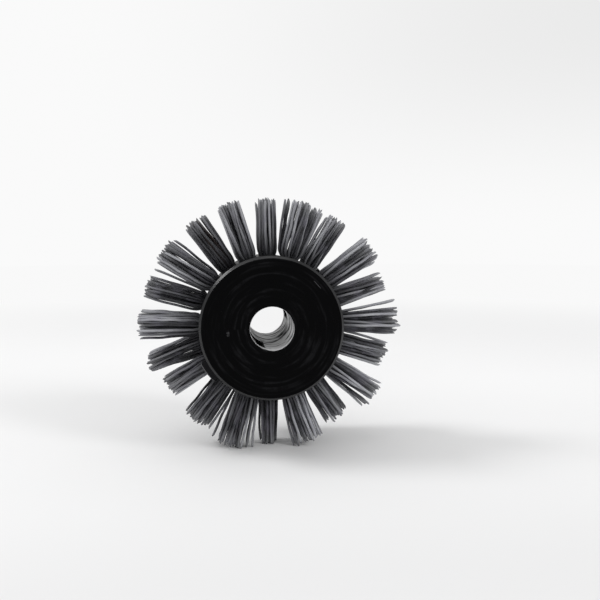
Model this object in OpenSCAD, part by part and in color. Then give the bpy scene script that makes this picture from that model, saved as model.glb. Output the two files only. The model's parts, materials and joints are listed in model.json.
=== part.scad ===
// Wheel brush: a round hub with radial bristle tufts in a zigzag ring, held on its shaft
// by two set screws. Sizes are in millimetres. The shaft axis is Y, the origin is the centre of
// the bore at mid-length, and the front face looks along -Y. Angles about the shaft run
// from +X towards +Z, and heights of radial pieces are measured from the shaft axis.

/* [Hub] */
// Outside diameter of the hub
hub_d = 66; // [64:1:80]
// Length of the hub along the shaft
hub_l = 60; // [58:1:90]
// Diameter of the shaft bore
bore_d = 20; // [16:0.5:20]
// Chamfer around both outer edges of the hub
rim_chamfer = 1.1; // [0.5:0.1:2]
// Chamfer at both mouths of the bore
mouth_chamfer = 0.5; // [0.2:0.1:1]

/* [Bristles] */
// Number of tufts around the hub
tuft_count = 20; // [12:2:20]
// Diameter over the bristle tips
brush_d = 124; // [110:1:160]
// Distance of each tuft from the middle of the hub: odd tufts forward, even ones back
tuft_offset = 3; // [3:0.1:3.5]
// Diameter of each tuft hole
tuft_hole_d = 9; // [6:0.1:9]
// Depth of each tuft hole
tuft_hole_depth = 9; // [5:0.5:9]
// Width of a tuft where it has opened out
tuft_neck_d = 11; // [9:0.1:11]
// Height above the hub where a tuft has opened out
tuft_neck_h = 6; // [5:0.5:10]
// Width of a tuft at its tips
tuft_tip_d = 13; // [9:0.1:15]

/* [Tuft anchors] */
// Thickness of the flat anchor wire
anchor_t = 0.5; // [0.3:0.1:0.8]
// Width of the flat anchor wire
anchor_w = 2.2; // [1.5:0.1:3]
// How far each end of an anchor bites into the wall of its hole
anchor_bite = 0.4; // [0.2:0.1:0.8]
// Height of the bristle loops under each anchor
loop_h = 1.3; // [0.8:0.1:2]

/* [Clamp screws] */
// Angle of the front clamp screw; the rear one is opposite
clamp_angle = 216; // [180:18:342]
// Distance of each clamp screw from the middle of the hub
clamp_offset = 16.2; // [16.2:0.1:17.5]
// Outside diameter of the screw thread
screw_d = 6; // [5:1:6]
// Length of each set screw
screw_l = 25; // [22:0.5:26]
// Width across the flats of each outer lock nut
lock_nut_af = 10; // [9:0.5:11]
// Thickness of each outer lock nut
lock_nut_h = 5; // [4:0.5:6]
// Width across the flats of each square nut inside the hub
square_nut_af = 12; // [11:0.5:12]
// Thickness of each square nut inside the hub
square_nut_h = 5; // [4:0.5:6.5]
// Length along the shaft of the pocket that holds a square nut
pocket_l = 18; // [18:0.5:20]
// Distance of the pocket's middle from the screw, towards the middle of the hub
pocket_shift = 1.2; // [0:0.1:1.5]
// Width across the flats of the hexagon socket
socket_af = 3; // [2.5:0.5:3]
// Depth of the hexagon socket
socket_depth = 3.5; // [2:0.5:5]
// Depth of the flat seat under each lock nut
seat_depth = 1.2; // [1.2:0.1:1.5]

/* [Clearances] */
// Gap around pieces that are pushed into place
push_gap = 0.05; // [0.05:0.01:0.1]
// Radial gap between a screw and its nuts
thread_gap = 0.1; // [0.05:0.01:0.1]
// Radial gap between a screw and its hole in the hub
hole_gap = 0.2; // [0.1:0.05:0.4]
// Gap between a screw's tip and the shaft at rest
tip_gap = 0.4; // [0.2:0.1:1]

/* [Hidden] */
$fn = 96;
hub_r = hub_d / 2;
bore_r = bore_d / 2;
brush_r = brush_d / 2;
tuft_step = 360 / tuft_count;
tuft_floor = hub_r - tuft_hole_depth;
tuft_root_r = tuft_hole_d / 2 - push_gap;
anchor_l = tuft_hole_d + 2 * anchor_bite;
anchor_base = tuft_floor + loop_h;
screw_r = screw_d / 2;
screw_tip = bore_r + tip_gap;
pocket_w = square_nut_af + 2 * push_gap;
pocket_top = screw_tip + square_nut_h;
pocket_base = bore_r / 2;
seat_r = hub_r - seat_depth;
seat_d = lock_nut_af / cos(30) + 0.8;
nut_chamfer = 0.8;
screw_chamfer = 0.7;
cut = 1;

function two_digits(n) = n < 10 ? str("0", n) : str(n);
function tuft_name(n) = str("tuft_", two_digits(n));
function anchor_name(n) = str("tuft_anchor_", two_digits(n));

// Turns a shape so that its +Z points outwards from the shaft axis at this angle, and
// moves it along the shaft.
module radial(angle, along = 0) {
    translate([0, along, 0])
        rotate([0, 90 - angle, 0])
            children();
}

module at_tuft(n) {
    radial((n - 1) * tuft_step, n % 2 == 1 ? -tuft_offset : tuft_offset)
        children();
}

// The front clamp screw's place, and the rear one's diagonally opposite.
module at_clamp(end) {
    if (end == "front")
        radial(clamp_angle, -clamp_offset) children();
    else
        radial(clamp_angle + 180, clamp_offset) children();
}

// A round bar along Z with a 45-degree chamfer at its lower and upper ends.
module chamfered_bar(r, low, high, low_chamfer, high_chamfer) {
    rotate_extrude()
        polygon([
            [0, low],
            [r - low_chamfer, low],
            [r, low + low_chamfer],
            [r, high - high_chamfer],
            [r - high_chamfer, high],
            [0, high]
        ]);
}

module centred_box(width_x, width_y, low, high) {
    translate([-width_x / 2, -width_y / 2, low])
        cube([width_x, width_y, high - low]);
}

module hub_blank() {
    rotate([90, 0, 0])
        rotate_extrude()
            polygon([
                [bore_r, hub_l / 2 - mouth_chamfer],
                [bore_r + mouth_chamfer, hub_l / 2],
                [hub_r - rim_chamfer, hub_l / 2],
                [hub_r, hub_l / 2 - rim_chamfer],
                [hub_r, rim_chamfer - hub_l / 2],
                [hub_r - rim_chamfer, -hub_l / 2],
                [bore_r + mouth_chamfer, -hub_l / 2],
                [bore_r, mouth_chamfer - hub_l / 2]
            ]);
}

module tuft_hole() {
    translate([0, 0, tuft_floor])
        cylinder(r = tuft_hole_d / 2, h = tuft_hole_depth + cut);
    anchor_wire();
}

// The seat for the lock nut, the hole for the screw, and the pocket for the square nut,
// which opens into the bore and reaches further towards the middle of the hub.
module clamp_hole(to_middle) {
    translate([0, 0, seat_r])
        cylinder(d = seat_d, h = seat_depth + cut);
    translate([0, 0, bore_r])
        cylinder(r = screw_r + hole_gap, h = hub_r - bore_r);
    translate([0, to_middle * pocket_shift, 0])
        centred_box(pocket_w, pocket_l, pocket_base, pocket_top);
}

module hub() {
    color([0.05, 0.05, 0.055])
        difference() {
            hub_blank();
            for (n = [1 : tuft_count])
                at_tuft(n) tuft_hole();
            at_clamp("front") clamp_hole(1);
            at_clamp("rear") clamp_hole(-1);
        }
}

// One bundle of bristles, folded under its anchor and fanned out above the hub.
module tuft_bundle() {
    color([0.42, 0.43, 0.45])
        difference() {
            rotate_extrude()
                polygon([
                    [0, tuft_floor],
                    [tuft_root_r, tuft_floor],
                    [tuft_root_r, hub_r],
                    [tuft_neck_d / 2, hub_r + tuft_neck_h],
                    [tuft_tip_d / 2, brush_r],
                    [0, brush_r]
                ]);
            anchor_wire();
        }
}

// The flat wire that holds a tuft down. Its length runs along the shaft, where the hub's
// wall between the holes is thick.
module anchor_wire() {
    color("silver")
        centred_box(anchor_t, anchor_l, anchor_base, anchor_base + anchor_w);
}

module set_screw() {
    color([0.16, 0.16, 0.17])
        difference() {
            chamfered_bar(
                screw_r, screw_tip, screw_tip + screw_l, screw_chamfer, screw_chamfer
            );
            translate([0, 0, screw_tip + screw_l - socket_depth])
                cylinder(d = socket_af / cos(30), h = socket_depth + cut, $fn = 6);
        }
}

// A hexagon nut on its seat, with one corner towards each end of the hub.
module lock_nut() {
    color([0.14, 0.14, 0.15])
        difference() {
            intersection() {
                translate([0, 0, seat_r])
                    rotate([0, 0, 30])
                        cylinder(d = lock_nut_af / cos(30), h = lock_nut_h, $fn = 6);
                chamfered_bar(
                    lock_nut_af / 2 + nut_chamfer, seat_r, seat_r + lock_nut_h,
                    nut_chamfer, nut_chamfer
                );
            }
            nut_bore(seat_r, lock_nut_h);
        }
}

module square_nut() {
    color([0.14, 0.14, 0.15])
        difference() {
            centred_box(square_nut_af, square_nut_af, screw_tip, pocket_top);
            nut_bore(screw_tip, square_nut_h);
        }
}

module nut_bore(base, height) {
    translate([0, 0, base - cut])
        cylinder(r = screw_r + thread_gap, h = height + 2 * cut);
}

hub();
for (n = [1 : tuft_count]) {
    at_tuft(n) tuft_bundle();
    at_tuft(n) anchor_wire();
}
for (end = ["front", "rear"]) {
    at_clamp(end) set_screw();
    at_clamp(end) lock_nut();
    at_clamp(end) square_nut();
}
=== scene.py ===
"""Wheel brush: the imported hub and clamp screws, with every tuft built up from its own
filaments, standing on its bristle tips on a pale studio floor. Metres, +Z up; the shaft
axis is Y and the front face looks along -Y."""

import json
import math
import random

import bpy
from mathutils import Matrix, Vector


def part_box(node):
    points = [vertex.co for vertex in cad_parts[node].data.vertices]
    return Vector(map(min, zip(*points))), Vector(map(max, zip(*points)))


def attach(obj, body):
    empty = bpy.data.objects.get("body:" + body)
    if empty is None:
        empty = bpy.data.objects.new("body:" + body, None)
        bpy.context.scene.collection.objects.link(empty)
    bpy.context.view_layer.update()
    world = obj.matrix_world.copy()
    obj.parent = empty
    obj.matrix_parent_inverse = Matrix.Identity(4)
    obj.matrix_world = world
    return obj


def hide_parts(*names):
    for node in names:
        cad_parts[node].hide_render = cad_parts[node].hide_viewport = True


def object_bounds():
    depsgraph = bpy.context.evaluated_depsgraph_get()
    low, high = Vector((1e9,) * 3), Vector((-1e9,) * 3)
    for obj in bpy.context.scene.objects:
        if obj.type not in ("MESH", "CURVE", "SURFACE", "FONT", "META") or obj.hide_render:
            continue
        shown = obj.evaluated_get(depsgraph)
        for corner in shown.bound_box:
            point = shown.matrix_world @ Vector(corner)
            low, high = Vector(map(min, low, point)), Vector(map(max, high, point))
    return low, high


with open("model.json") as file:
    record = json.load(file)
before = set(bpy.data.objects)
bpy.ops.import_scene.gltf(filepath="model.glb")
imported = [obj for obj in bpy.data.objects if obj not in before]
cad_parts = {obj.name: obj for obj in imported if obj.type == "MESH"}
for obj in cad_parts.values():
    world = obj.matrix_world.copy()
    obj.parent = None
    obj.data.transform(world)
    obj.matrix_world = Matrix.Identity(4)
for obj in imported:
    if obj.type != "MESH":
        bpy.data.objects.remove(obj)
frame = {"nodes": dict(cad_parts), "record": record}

MM = 0.001
cad_low, cad_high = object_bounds()

# ---------------------------------------------------------------- sizes from the frame
hub_low, hub_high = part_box("hub")
HUB_R = (hub_high.x - hub_low.x) / 2
HUB_HALF = (hub_high.y - hub_low.y) / 2
BRUSH_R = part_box("tuft_01")[1].x
TUFT_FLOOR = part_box("tuft_01")[0].x
TUFT_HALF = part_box("tuft_01")[1].z
TUFT_ROW = {1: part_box("tuft_01"), 0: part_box("tuft_02")}  # odd tufts, even tufts
BORE_R = frame["record"]["mounts"][0]["dims"]["r_mm"] * MM
FLOOR_Z = cad_low.z
CLAMP_AXIS = Vector(frame["record"]["behaviour"]["joints"][0]["axis"])
LOCK_NUT = bpy.data.objects["front_lock_nut"].data
# The lock nuts' outer faces, measured from the shaft axis.
NUT_TOP = max(CLAMP_AXIS.dot(vertex.co) for vertex in LOCK_NUT.vertices)
TUFT_COUNT = sum(1 for name in frame["nodes"] if name[:-2] == "tuft_")
TUFT_STEP = math.tau / TUFT_COUNT

# ---------------------------------------------------------------- filaments
FILAMENT_R = 0.62 * MM
FILAMENTS = 36  # in one tuft
SEED = 700  # each tuft draws from its own seed, this plus its number
ROOT_R = 3.8 * MM  # radius of the bundle's centre lines inside its hole
RINGS = 30  # cross-sections along one filament
SIDES = 8  # corners of each cross-section
CRIMP = 0.13 * MM  # half-height of the filament's waves
CRIMP_LENGTH = (9 * MM, 20 * MM)
BOW = 0.5 * MM  # how far a filament bends to one side between root and tip
CRIMP_SPREAD = (0.5, 1.3)  # least and most of that half-height, as shares
CRIMP_START = 6  # the waves reach full height over the first sixth above the hub
LENGTH_SPREAD = 1.5 * MM
LENGTH_RANGE = (-1, 0.6)  # shortest and longest, as shares of the spread
TIP_SCATTER = (1.0, 0.7)  # spread of the tips, sideways and along the shaft, in millimetres
TIP_DOME = 0.5  # how much shorter the outer filaments of a bundle are
STRAYS = 0.22  # share of filaments that drift across their neighbours on the way out
STRAY_DRIFT = 3.6 * MM
TIP_CUT = 0.6 * MM  # how far the slanted cut at a tip runs along the filament
NECK = 6 * MM  # height above the hub by which the bundle has opened out
NECK_HALF = 5.5 * MM  # half its width there
NECK_CURVE = 4  # how soon after leaving its hole the bundle opens out
FLOOR_GAP = 0.05 * MM  # kept between every tip and the floor
INNER_PAINTED_SHADE = 0.75  # how much darker the filaments are towards the middle of a bundle, as painted shade for the light the outer filaments keep out

# How use has bent and spread each tuft: its number, then its lean in degrees towards the
# next tuft, its width just above the hub and its width at the tips, both against the CAD
# solid, its reach in millimetres, and how pale it is against the others.
WORN_TUFTS = {
    1: (0.6, 0.94, 1.50, 63.6, 1.00),
    2: (0.2, 1.15, 0.60, 60.3, 1.30),
    3: (-1.6, 1.06, 1.24, 62.1, 1.45),
    4: (3.2, 0.98, 0.82, 60.5, 0.96),
    5: (0.4, 1.22, 1.76, 60.3, 1.04),
    6: (-0.4, 1.00, 0.78, 59.8, 0.83),
    7: (2.5, 1.02, 1.10, 60.2, 1.06),
    8: (0.8, 0.97, 0.88, 60.7, 0.60),
    9: (2.6, 1.08, 1.15, 60.9, 0.86),
    10: (1.9, 1.04, 1.06, 61.5, 0.69),
    11: (-1.4, 1.13, 1.08, 62.0, 1.10),
    12: (3.6, 1.35, 0.78, 61.4, 1.20),
    13: (-8.5, 0.90, 0.86, 57.4, 0.76),
    14: (-0.8, 1.25, 1.38, 61.3, 0.76),
    15: (1.2, 1.15, 1.50, 63.5, 0.66),
    16: (1.1, 0.91, 0.45, 62.7, 0.52),
    17: (0.9, 1.11, 1.42, 62.4, 1.35),
    18: (-2.0, 1.07, 1.06, 60.4, 0.60),
    19: (0.9, 1.03, 1.08, 64.2, 1.35),
    20: (0.9, 1.28, 1.16, 61.4, 1.08),
}
PUSHED_TUFT = 13  # stands beside the front lock nut, which pushes it aside
PUSH = -1.7 * MM  # how far, measured towards the next tuft
STAINED_TUFT = 8  # its inner filaments have a dark brown stain
STAINED_SHARE = 0.45  # of its filaments, counted from the middle


def tuft_axes(number):
    """Outward, sideways (towards the next tuft) and along-the-shaft directions."""
    angle = (number - 1) * TUFT_STEP
    outward = Vector((math.cos(angle), 0, math.sin(angle)))
    sideways = Vector((-math.sin(angle), 0, math.cos(angle)))
    return outward, sideways, Vector((0, 1, 0))


def row_place(number):
    """Where a tuft's own axis lies along the shaft."""
    low, high = TUFT_ROW[number % 2]
    return Vector((0, (low.y + high.y) / 2, 0))


def filament_line(number, index, rng):
    """Centre line of one filament, from the bottom of its hole to its tip."""
    outward, sideways, along = tuft_axes(number)
    foot = row_place(number)
    lean, neck_width, tip_width, reach, _ = WORN_TUFTS[number]
    turn = index * math.pi * (3 - math.sqrt(5))
    share = math.sqrt((index + 0.5) / FILAMENTS)
    place = Vector((share * math.cos(turn), share * math.sin(turn)))
    root = place * ROOT_R
    neck = place * (NECK_HALF - FILAMENT_R)
    neck.x *= neck_width
    tip = place * (TUFT_HALF - FILAMENT_R)
    tip.x *= tip_width
    tip.x += math.tan(math.radians(lean)) * (BRUSH_R - HUB_R)
    if number == PUSHED_TUFT:
        neck.x += PUSH
    tip += Vector((rng.gauss(0, TIP_SCATTER[0]), rng.gauss(0, TIP_SCATTER[1]))) * MM
    if rng.random() < STRAYS:
        tip.x -= math.copysign(rng.uniform(0.5, 1.0) * STRAY_DRIFT, place.x)
    top = reach * MM + rng.uniform(*LENGTH_RANGE) * LENGTH_SPREAD
    top *= 1 - TIP_DOME * (tip.x * tip.x + tip.y * tip.y) / (BRUSH_R * BRUSH_R)
    wave = math.tau / rng.uniform(*CRIMP_LENGTH)
    phase = rng.uniform(0, math.tau)
    plane = rng.uniform(0, math.pi)
    height = CRIMP * rng.uniform(*CRIMP_SPREAD)
    bow = Vector((rng.uniform(-1, 1), rng.uniform(-1, 1))) * BOW
    line = []
    for k in range(RINGS + 1):
        h = TUFT_FLOOR + FILAMENT_R + (top - TUFT_FLOOR - FILAMENT_R) * k / RINGS
        u = max(0.0, (h - HUB_R) / (BRUSH_R - HUB_R))
        opened = 1 - (1 - min(1, max(0, h - HUB_R) / NECK)) ** NECK_CURVE
        offset = root.lerp(neck, opened) + (tip - neck) * u
        swing = height * math.sin(wave * h + phase) * min(1, u * CRIMP_START)
        offset += Vector((math.cos(plane), math.sin(plane))) * swing
        offset += bow * (4 * u * (1 - u) if u < 1 else 0)
        line.append(foot + outward * h + sideways * offset.x + along * offset.y)
    return stop_at_floor(line)


def stop_at_floor(line):
    """Cuts a line short where it would run into the floor."""
    lowest = FLOOR_Z + FLOOR_GAP + FILAMENT_R * 0.5
    for k, point in enumerate(line):
        if point.z < lowest:
            before = line[k - 1]
            share = (before.z - lowest) / (before.z - point.z)
            return line[:k] + [before.lerp(point, max(0.05, share))]
    return line


def add_tube(line, rng, verts, faces, heights):
    """Adds a filament: a tube round its line, with a slanted cut at its tip."""
    base = len(verts)
    slant = rng.uniform(0, math.tau)
    side = line[1] - line[0]
    side = side.orthogonal().normalized()
    last = len(line) - 1
    for k, point in enumerate(line):
        ahead = line[min(k + 1, last)] - line[max(k - 1, 0)]
        ahead.normalize()
        side = (side - ahead * side.dot(ahead)).normalized()
        other = ahead.cross(side)
        radius = FILAMENT_R * (0.8 if k == last else 0.96 if k == last - 1 else 1)
        for s in range(SIDES):
            turn = math.tau * s / SIDES
            corner = point + (side * math.cos(turn) + other * math.sin(turn)) * radius
            if k == last:
                corner += ahead * TIP_CUT * math.cos(turn - slant)
            corner.z = max(corner.z, FLOOR_Z + FLOOR_GAP)
            verts.append(corner)
            heights.append(k / last)
    for k in range(last):
        for s in range(SIDES):
            a = base + k * SIDES + s
            b = base + k * SIDES + (s + 1) % SIDES
            faces.append((a, b, b + SIDES, a + SIDES))
    faces.append(tuple(base + s for s in reversed(range(SIDES))))
    faces.append(tuple(base + last * SIDES + s for s in range(SIDES)))


def make_tuft(number, material):
    """One tuft as a bundle of separate filaments, in place of its CAD solid."""
    rng = random.Random(SEED + number)
    paleness = WORN_TUFTS[number][4]
    verts, faces, heights, shades, stains = [], [], [], [], []
    for index in range(FILAMENTS):
        line = filament_line(number, index, rng)
        add_tube(line, rng, verts, faces, heights)
        stained = number == STAINED_TUFT and index < STAINED_SHARE * FILAMENTS
        added = len(verts) - len(shades)
        # Filaments towards the middle of the bundle are darkened: painted shade for the light
        # the outer filaments keep out.
        inner = 1 - (index + 0.5) / FILAMENTS
        shade = rng.uniform(0, 1) * (1 - INNER_PAINTED_SHADE * inner) * paleness
        shades.extend([shade] * added)
        stains.extend([float(stained)] * added)
    node = f"tuft_{number:02d}"
    mesh = bpy.data.meshes.new(f"{node}_bristles")
    mesh.from_pydata(verts, [], faces)
    mesh.update()
    for name, values in (("shade", shades), ("height", heights), ("stain", stains)):
        layer = mesh.attributes.new(name, "FLOAT", "POINT")
        layer.data.foreach_set("value", values)
    for polygon in mesh.polygons:
        polygon.use_smooth = len(polygon.vertices) == 4
    mesh.materials.append(material)
    piece = bpy.data.objects.new(f"{node}_bristles", mesh)
    bpy.context.scene.collection.objects.link(piece)
    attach(piece, "wheel")
    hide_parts(node)


# ---------------------------------------------------------------- material helpers
class Nodes:
    """Short calls for building one material's node tree."""

    def __init__(self, name):
        self.material = bpy.data.materials.new(name)
        self.material.use_nodes = True
        self.tree = self.material.node_tree
        self.shader = self.tree.nodes["Principled BSDF"]

    def add(self, kind, **settings):
        made = self.tree.nodes.new(kind)
        for key, value in settings.items():
            setattr(made, key, value)
        return made

    def link(self, source, target):
        self.tree.links.new(source, target)

    def feed(self, socket, value):
        if isinstance(value, bpy.types.NodeSocket):
            self.link(value, socket)
        else:
            socket.default_value = value

    def math(self, operation, a, b=0.0):
        made = self.add("ShaderNodeMath", operation=operation)
        self.feed(made.inputs[0], a)
        self.feed(made.inputs[1], b)
        return made.outputs[0]

    def ramp(self, value, low, high, out_low=0.0, out_high=1.0):
        """value between low and high, brought smoothly to out_low to out_high."""
        made = self.add("ShaderNodeMapRange", interpolation_type="SMOOTHSTEP")
        for socket, number in zip(made.inputs[1:5], (low, high, out_low, out_high)):
            socket.default_value = number
        self.feed(made.inputs[0], value)
        return made.outputs[0]

    def mix(self, factor, a, b):
        made = self.add("ShaderNodeMix", data_type="RGBA")
        self.feed(made.inputs[0], factor)
        self.feed(made.inputs[6], a)
        self.feed(made.inputs[7], b)
        return made.outputs[2]

    def place(self):
        """The surface point in the row frame, as its three parts and as a vector."""
        where = self.add("ShaderNodeTexCoord").outputs["Object"]
        parts = self.add("ShaderNodeSeparateXYZ")
        self.link(where, parts.inputs[0])
        return where, parts.outputs[0], parts.outputs[1], parts.outputs[2]

    def noise(self, vector, scale, detail=3.0, rough=0.55):
        made = self.add("ShaderNodeTexNoise")
        self.feed(made.inputs["Vector"], vector)
        made.inputs["Scale"].default_value = scale
        made.inputs["Detail"].default_value = detail
        made.inputs["Roughness"].default_value = rough
        return made.outputs["Fac"]

    def vector(self, x, y, z):
        made = self.add("ShaderNodeCombineXYZ")
        for socket, value in zip(made.inputs, (x, y, z)):
            self.feed(socket, value)
        return made.outputs[0]

    def bump(self, height, distance, strength=1.0):
        made = self.add("ShaderNodeBump")
        made.inputs["Strength"].default_value = strength
        made.inputs["Distance"].default_value = distance
        self.link(height, made.inputs["Height"])
        self.link(made.outputs[0], self.shader.inputs["Normal"])


# ---------------------------------------------------------------- materials
DENT_PLACE = (-19.9 * MM, -2.0 * MM)  # x and z on the front face
DENT_HALF = (0.8 * MM, 1.3 * MM)
SCRATCH_START = (18.9, 21.7)  # x and z on the front face, in millimetres
SCRATCH_SLOPE = math.radians(-48)
SCRATCH_HALF = 2.5 * MM  # half its length


def hub_marks(m, x, y, z):
    """Two marks on the front face: a small dent near the left, a scratch upper right."""
    front = m.ramp(y, -HUB_HALF + 0.3 * MM, -HUB_HALF + 0.1 * MM)
    across = m.math("DIVIDE", m.math("SUBTRACT", x, DENT_PLACE[0]), DENT_HALF[0])
    up = m.math("DIVIDE", m.math("SUBTRACT", z, DENT_PLACE[1]), DENT_HALF[1])
    away = m.math("ADD", m.math("MULTIPLY", across, across), m.math("MULTIPLY", up, up))
    broken = m.ramp(m.noise(m.vector(x, y, z), 1400.0, 2.0), 0.42, 0.6)
    dent = m.math("MULTIPLY", m.ramp(away, 1.0, 0.4), broken)
    start = Vector(SCRATCH_START) * MM
    along = Vector((math.cos(SCRATCH_SLOPE), math.sin(SCRATCH_SLOPE)))
    x_part = m.math("SUBTRACT", x, start.x)
    z_part = m.math("SUBTRACT", z, start.y)
    run = m.math(
        "ADD", m.math("MULTIPLY", x_part, along.x), m.math("MULTIPLY", z_part, along.y)
    )
    off = m.math(
        "SUBTRACT", m.math("MULTIPLY", x_part, along.y), m.math("MULTIPLY", z_part, along.x)
    )
    line = m.ramp(m.math("ABSOLUTE", off), 0.16 * MM, 0.06 * MM)
    from_middle = m.math("ABSOLUTE", m.math("SUBTRACT", run, SCRATCH_HALF))
    ends = m.ramp(from_middle, 2.6 * MM, 2.0 * MM)
    scratch = m.math("MULTIPLY", line, ends)
    return m.math("MULTIPLY", front, m.math("MAXIMUM", dent, scratch))


def hub_material():
    """Turned black plastic: fine lathe rings on the faces and the outside, a paler cut
    edge at each rim, and a coarse drilled wall in the bore, with pale grey on the crests
    of its drilled pattern as painted reflection of the bright surroundings at a grazing angle."""
    m = Nodes("turned_black_plastic")
    where, x, y, z = m.place()
    radius = m.math("SQRT", m.math("ADD", m.math("MULTIPLY", x, x), m.math("MULTIPLY", z, z)))
    depth = m.math("ABSOLUTE", y)
    rim = m.math(
        "MULTIPLY",
        m.ramp(radius, HUB_R - 1.15 * MM, HUB_R - 1.05 * MM),
        m.ramp(depth, HUB_HALF - 1.15 * MM, HUB_HALF - 1.05 * MM),
    )
    bore = m.ramp(radius, BORE_R + 0.15 * MM, BORE_R + 0.05 * MM)
    face = m.ramp(depth, HUB_HALF - 0.2 * MM, HUB_HALF - 0.05 * MM)
    angle = m.math("ARCTAN2", z, x)
    lathe = m.noise(m.vector(m.math("MULTIPLY", radius, 2600.0), angle, 0.0), 1.0, 2.0)
    coarse = m.noise(m.vector(m.math("MULTIPLY", radius, 620.0), angle, 3.0), 1.0, 2.0)
    outside = m.noise(m.vector(m.math("MULTIPLY", y, 2200.0), angle, 7.0), 1.0, 2.0)
    feed = m.math("ADD", m.math("MULTIPLY", y, 190.0), m.math("MULTIPLY", angle, 0.5))
    drilled = m.noise(m.vector(feed, m.math("MULTIPLY", angle, 0.5), 11.0), 1.0, 3.0, 0.65)
    scuffs = m.noise(where, 140.0, 5.0, 0.7)
    rings = m.math("ADD", m.math("MULTIPLY", lathe, 0.6), m.math("MULTIPLY", coarse, 0.4))
    turned = m.add("ShaderNodeMix")
    m.feed(turned.inputs[0], face)
    m.feed(turned.inputs[2], outside)
    m.feed(turned.inputs[3], rings)
    height = m.add("ShaderNodeMix")
    m.feed(height.inputs[0], bore)
    m.feed(height.inputs[2], m.math("MULTIPLY", turned.outputs[0], 0.12))
    m.feed(height.inputs[3], drilled)
    m.bump(height.outputs[0], 0.30 * MM, 0.9)
    patchy = m.math("MULTIPLY", m.ramp(coarse, 0.5, 0.7), m.ramp(scuffs, 0.4, 0.6, 0.25, 1.0))
    black = m.mix(patchy, (0.0006, 0.0006, 0.0008, 1), (0.008, 0.008, 0.009, 1))
    black = m.mix(hub_marks(m, x, y, z), black, (0.06, 0.06, 0.062, 1))
    cut = m.mix(rim, black, (0.007, 0.007, 0.008, 1))
    # Pale grey on the crests of the drilled pattern in the bore: painted reflection of the
    # bright surroundings at a grazing angle. The pattern itself is the drilled wall.
    crest = m.ramp(drilled, 0.41, 0.52)
    bore_painted_reflection = m.mix(crest, (0.012, 0.012, 0.013, 1), (0.62, 0.62, 0.63, 1))
    walled = m.mix(bore, cut, bore_painted_reflection)
    m.link(walled, m.shader.inputs["Base Color"])
    smooth = m.ramp(scuffs, 0.35, 0.75, 0.26, 0.42)
    rough = m.add("ShaderNodeMix")
    m.feed(rough.inputs[0], m.math("MAXIMUM", rim, bore))
    m.feed(rough.inputs[2], smooth)
    m.feed(rough.inputs[3], m.ramp(drilled, 0.44, 0.55, 0.6, 0.3))
    m.link(rough.outputs[0], m.shader.inputs["Roughness"])
    shiny = m.math("MAXIMUM", m.math("MULTIPLY", rim, 0.4), m.math("MULTIPLY", bore, crest))
    m.link(m.ramp(shiny, 0.0, 1.0, 0.04, 1.0), m.shader.inputs["Specular IOR Level"])
    return m.material


def bristle_material():
    """Grey abrasive nylon: each filament has its own shade, darkened as painted shade towards
    the middle of its bundle and towards the roots, with grit speckles and fine pits.
    """
    m = Nodes("abrasive_nylon")
    where = m.place()[0]
    shade = m.add("ShaderNodeAttribute", attribute_name="shade").outputs["Fac"]
    grit = m.noise(where, 2600.0, 3.0, 0.7)
    patch = m.noise(where, 160.0, 2.0)
    grey = m.mix(m.ramp(shade, 0.05, 0.9), (0.008, 0.008, 0.011, 1), (0.40, 0.405, 0.43, 1))
    tinted = m.mix(m.ramp(patch, 0.4, 0.7, 0.0, 0.5), grey, (0.17, 0.165, 0.20, 1))
    speckled = m.mix(m.ramp(grit, 0.55, 0.75, 0.0, 0.55), tinted, (0.34, 0.345, 0.35, 1))
    dark = m.mix(m.ramp(grit, 0.42, 0.28, 0.0, 0.5), speckled, (0.05, 0.05, 0.055, 1))
    height = m.add("ShaderNodeAttribute", attribute_name="height").outputs["Fac"]
    stain = m.add("ShaderNodeAttribute", attribute_name="stain").outputs["Fac"]
    brown = m.mix(m.math("MULTIPLY", stain, 0.85), dark, (0.022, 0.009, 0.007, 1))
    # Darker towards the roots: painted shade where the hub and the bundle keep light from them.
    root_painted_shade = m.mix(m.ramp(height, 0.2, 0.7, 0.85, 0.0), brown, (0.003, 0.003, 0.005, 1))
    worn = m.mix(m.ramp(height, 0.75, 1.0, 0.0, 0.3), root_painted_shade, (0.36, 0.365, 0.375, 1))
    m.link(worn, m.shader.inputs["Base Color"])
    m.link(m.ramp(grit, 0.3, 0.7, 0.5, 0.72), m.shader.inputs["Roughness"])
    m.bump(grit, 0.05 * MM, 0.8)
    m.shader.inputs["Specular IOR Level"].default_value = 0.35
    return m.material


def black_steel_material():
    """Black-oxide steel, with bare metal showing faintly through in worn patches, and a
    painted highlight as a thin bright band along the chamfer at the outer face of each lock
    nut."""
    m = Nodes("black_oxide_steel")
    where, x, _, z = m.place()
    wear = m.noise(where, 420.0, 4.0, 0.65)
    grain = m.noise(where, 2400.0, 3.0, 0.6)
    colour = m.mix(m.ramp(wear, 0.6, 0.8), (0.005, 0.005, 0.006, 1), (0.03, 0.03, 0.032, 1))
    x_part = m.math("MULTIPLY", x, CLAMP_AXIS.x)
    height = m.math("ABSOLUTE", m.math("ADD", x_part, m.math("MULTIPLY", z, CLAMP_AXIS.z)))
    # A thin bright band just below each nut's outer face: a painted highlight on the chamfer.
    edge = m.math(
        "MULTIPLY",
        m.ramp(height, NUT_TOP - 0.45 * MM, NUT_TOP - 0.2 * MM),
        m.ramp(height, NUT_TOP - 0.01 * MM, NUT_TOP - 0.04 * MM),
    )
    colour = m.mix(m.math("MULTIPLY", edge, 0.8), colour, (0.16, 0.16, 0.165, 1))
    m.link(colour, m.shader.inputs["Base Color"])
    m.shader.inputs["Metallic"].default_value = 0.5
    m.shader.inputs["Specular IOR Level"].default_value = 0.15
    m.link(m.ramp(grain, 0.3, 0.7, 0.3, 0.5), m.shader.inputs["Roughness"])
    m.bump(grain, 0.03 * MM, 0.6)
    return m.material


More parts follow.
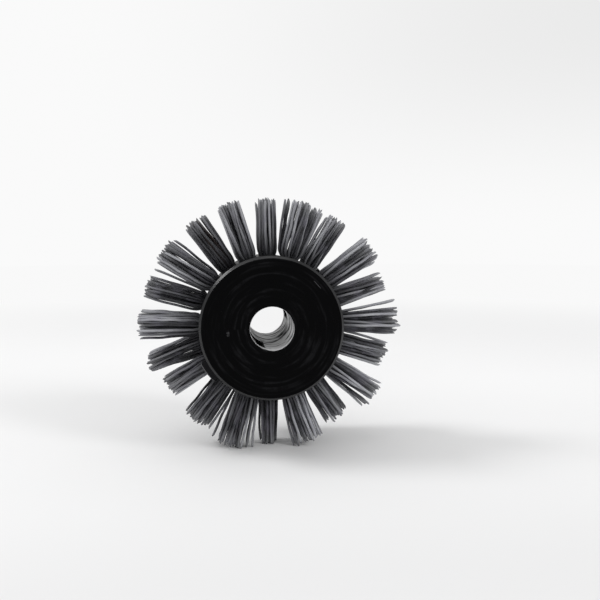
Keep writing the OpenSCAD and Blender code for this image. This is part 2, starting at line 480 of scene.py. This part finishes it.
def anchor_steel_material():
    """Drawn flat wire: bright steel with fine lines along the shaft direction."""
    m = Nodes("drawn_wire_steel")
    _, x, y, z = m.place()
    lines = m.noise(m.vector(m.math("MULTIPLY", x, 9.0), y, m.math("MULTIPLY", z, 9.0)), 900.0)
    colour = m.mix(m.ramp(lines, 0.3, 0.7), (0.42, 0.42, 0.43, 1), (0.6, 0.6, 0.61, 1))
    m.link(colour, m.shader.inputs["Base Color"])
    m.shader.inputs["Metallic"].default_value = 1.0
    m.link(m.ramp(lines, 0.3, 0.7, 0.28, 0.42), m.shader.inputs["Roughness"])
    m.bump(lines, 0.02 * MM, 0.6)
    return m.material


# ---------------------------------------------------------------- studio
EYE = Vector((-19.3, -324.6, 38.3)) * MM
AIM = Vector((12.6, -30.0, 13.0)) * MM
CAMERA_ROLL = math.radians(0.1)
LENS = 39.5  # focal length in millimetres for a 36 mm wide sensor
PALE = 0.945  # the backdrop's brightness
FLOOR_SIZE = 3.0  # radius of the floor
FLOOR_FADE = (0.22, 0.95)  # where the floor starts and ends blending into the backdrop


def make_camera():
    data = bpy.data.cameras.new("camera")
    data.lens = LENS
    data.sensor_width = 36.0
    data.clip_start = 0.01
    camera = bpy.data.objects.new("camera", data)
    bpy.context.scene.collection.objects.link(camera)
    look = (AIM - EYE).to_track_quat("-Z", "Y").to_matrix().to_4x4()
    camera.matrix_world = Matrix.Translation(EYE) @ look @ Matrix.Rotation(-CAMERA_ROLL, 4, "Z")
    bpy.context.scene.camera = camera


def make_floor():
    """A round pale floor that blends into the backdrop's own brightness far out. Its colour
    holds painted light, paler towards the back and the right, and painted shade, darker in
    front of the brush.
    """
    corners = 96
    ring = [
        (
            FLOOR_SIZE * math.cos(math.tau * i / corners),
            FLOOR_SIZE * math.sin(math.tau * i / corners),
            FLOOR_Z,
        )
        for i in range(corners)
    ]
    mesh = bpy.data.meshes.new("studio_floor")
    mesh.from_pydata(ring, [], [tuple(range(corners))])
    m = Nodes("studio_floor")
    where, x, y, _ = m.place()
    out = m.math("SQRT", m.math("ADD", m.math("MULTIPLY", x, x), m.math("MULTIPLY", y, y)))
    mottle = m.noise(where, 9.0, 3.0)
    # Painted light: the floor's colour grows paler towards the back, most of all on the right.
    painted_light_right = m.math("MULTIPLY", m.ramp(x, -0.10, 0.20), m.ramp(y, -0.06, 0.16))
    behind = m.math("MULTIPLY", m.ramp(y, 0.10, 0.30), m.ramp(x, -0.22, -0.02, 0.35, 1.0))
    far = m.math("MAXIMUM", painted_light_right, behind)
    plain = m.mix(mottle, (0.79, 0.79, 0.792, 1), (0.82, 0.82, 0.822, 1))
    paler = m.mix(far, plain, (0.89, 0.89, 0.892, 1))
    # Painted shade: the floor's colour is darker in front of the brush.
    painted_shade_front = m.mix(m.ramp(y, -0.07, -0.15), paler, (0.755, 0.755, 0.757, 1))
    m.link(painted_shade_front, m.shader.inputs["Base Color"])
    m.shader.inputs["Roughness"].default_value = 0.75
    m.shader.inputs["Specular IOR Level"].default_value = 0.2
    glow = m.add("ShaderNodeEmission")
    glow.inputs["Color"].default_value = (PALE, PALE, PALE, 1)
    blend = m.add("ShaderNodeMixShader")
    m.link(m.ramp(out, *FLOOR_FADE), blend.inputs[0])
    m.link(m.shader.outputs[0], blend.inputs[1])
    m.link(glow.outputs[0], blend.inputs[2])
    m.link(blend.outputs[0], m.tree.nodes["Material Output"].inputs["Surface"])
    mesh.materials.append(m.material)
    floor = bpy.data.objects.new("studio_floor", mesh)
    bpy.context.scene.collection.objects.link(floor)


def make_light(name, place, size, power):
    data = bpy.data.lights.new(name, "AREA")
    data.shape = "DISK"
    data.size = size
    data.energy = power
    lamp = bpy.data.objects.new(name, data)
    lamp.location = place
    lamp.visible_camera = False
    lamp.rotation_euler = (-Vector(place)).to_track_quat("-Z", "Y").to_euler()
    bpy.context.scene.collection.objects.link(lamp)


def make_world():
    """Even pale light from above and behind, and darkness where the camera stands, so
    that the black face has nothing bright to mirror. Seen directly it is pale, with painted
    shade darkening it towards the upper right."""
    world = bpy.data.worlds.new("studio")
    world.use_nodes = True
    tree = world.node_tree
    back = tree.nodes["Background"]
    back.inputs["Strength"].default_value = 1.0
    where = tree.nodes.new("ShaderNodeTexCoord")
    parts = tree.nodes.new("ShaderNodeSeparateXYZ")
    tree.links.new(where.outputs["Generated"], parts.inputs[0])
    depth = tree.nodes.new("ShaderNodeMapRange")
    depth.interpolation_type = "SMOOTHSTEP"
    for socket, number in zip(depth.inputs[1:5], (-0.8, 0.8, 0.75, 0.50)):
        socket.default_value = number
    tree.links.new(parts.outputs[1], depth.inputs[0])
    seen = tree.nodes.new("ShaderNodeLightPath")
    choose = tree.nodes.new("ShaderNodeMix")
    dim = tree.nodes.new("ShaderNodeMapRange")
    rise = tree.nodes.new("ShaderNodeMapRange")
    for ramp, source, numbers in (
        (dim, parts.outputs[0], (-0.25, 0.55, 0.0, 0.13)),
        (rise, parts.outputs[2], (0.02, 0.30, 0.0, 1.0)),
    ):
        ramp.interpolation_type = "SMOOTHSTEP"
        for socket, number in zip(ramp.inputs[1:5], numbers):
            socket.default_value = number
        tree.links.new(source, ramp.inputs[0])
    # Painted shade on the backdrop as the camera sees it: darker towards the upper right.
    shadow = tree.nodes.new("ShaderNodeMath")
    shadow.operation = "MULTIPLY"
    tree.links.new(dim.outputs[0], shadow.inputs[0])
    tree.links.new(rise.outputs[0], shadow.inputs[1])
    plain = tree.nodes.new("ShaderNodeMath")
    plain.operation = "SUBTRACT"
    plain.inputs[0].default_value = PALE + 0.01
    tree.links.new(shadow.outputs[0], plain.inputs[1])
    tree.links.new(plain.outputs[0], choose.inputs[3])
    tree.links.new(seen.outputs["Is Camera Ray"], choose.inputs[0])
    tree.links.new(depth.outputs[0], choose.inputs[2])
    tree.links.new(choose.outputs[0], back.inputs["Color"])
    bpy.context.scene.world = world


def make_studio():
    make_camera()
    make_world()
    make_floor()
    make_light("left", (-0.90, 0.14, 0.95), 0.40, 7.0)
    make_light("right_front", (0.92, -0.76, 0.67), 0.36, 5.4)
    make_light("top", (-0.10, -0.10, 1.30), 1.1, 2.4)
    bpy.context.scene.view_settings.view_transform = "Standard"


# ---------------------------------------------------------------- put it together
def dress(name, material):
    """Gives a CAD node its finished material."""
    mesh = frame["nodes"][name].data
    mesh.materials.clear()
    mesh.materials.append(material)


def make_brush():
    hub, steel, wire = hub_material(), black_steel_material(), anchor_steel_material()
    for name in frame["nodes"]:
        if name == "hub":
            dress(name, hub)
        elif name.startswith("tuft_anchor_"):
            dress(name, wire)
        elif not name.startswith("tuft_"):
            dress(name, steel)
    nylon = bristle_material()
    for number in range(1, TUFT_COUNT + 1):
        make_tuft(number, nylon)


make_studio()
make_brush()
